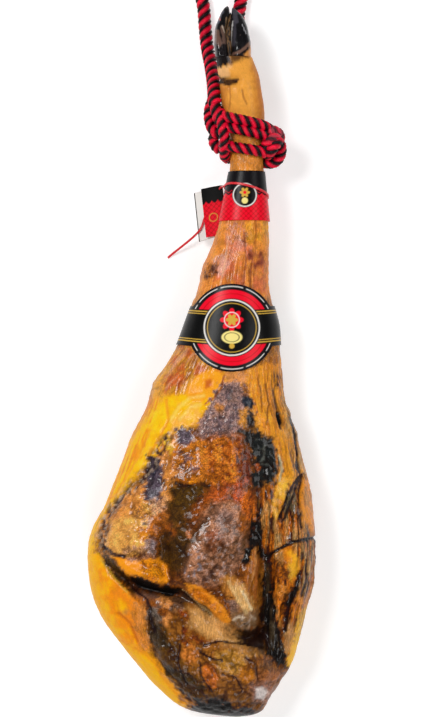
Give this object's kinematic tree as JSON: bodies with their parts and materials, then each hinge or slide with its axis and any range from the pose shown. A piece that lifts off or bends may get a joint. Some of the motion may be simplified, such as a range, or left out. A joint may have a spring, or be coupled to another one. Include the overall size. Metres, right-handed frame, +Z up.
{
  "type": "cured ham",
  "caption": "Whole bone-in cured ham lying cut side up, with hoof, a two-colour rope tied round the shank with a free loop, paper bands and a folded tag.",
  "frame": {"origin": "on the surface that the ham lies on, under the middle of the box round everything but the free rope loop", "axes": "+Y along the ham from its butt end to the hoof, +Z up through the cut side, +X to the right of someone who looks down on it with the hoof at the top"},
  "size_m": [0.2659, 0.9355, 0.1258],
  "materials": {
    "cured_meat": "waxy cured fat and dried meat, golden to dark brown",
    "horn": "polished black horn",
    "rope": "satin cord of two red and two black strands",
    "band_card": "printed and varnished card, black, red and gold",
    "tag_card": "printed and varnished card, black over red",
    "seal_plastic": "moulded red plastic"
  },
  "bodies": {
    "root": {"ham": "cured_meat", "claw_left": "horn", "claw_right": "horn", "rope_turns": "rope", "rope_loop": "rope", "neck_band": "band_card", "label_band": "band_card", "tag": "tag_card", "seal_strap": "seal_plastic"}
  },
  "joints": []
}
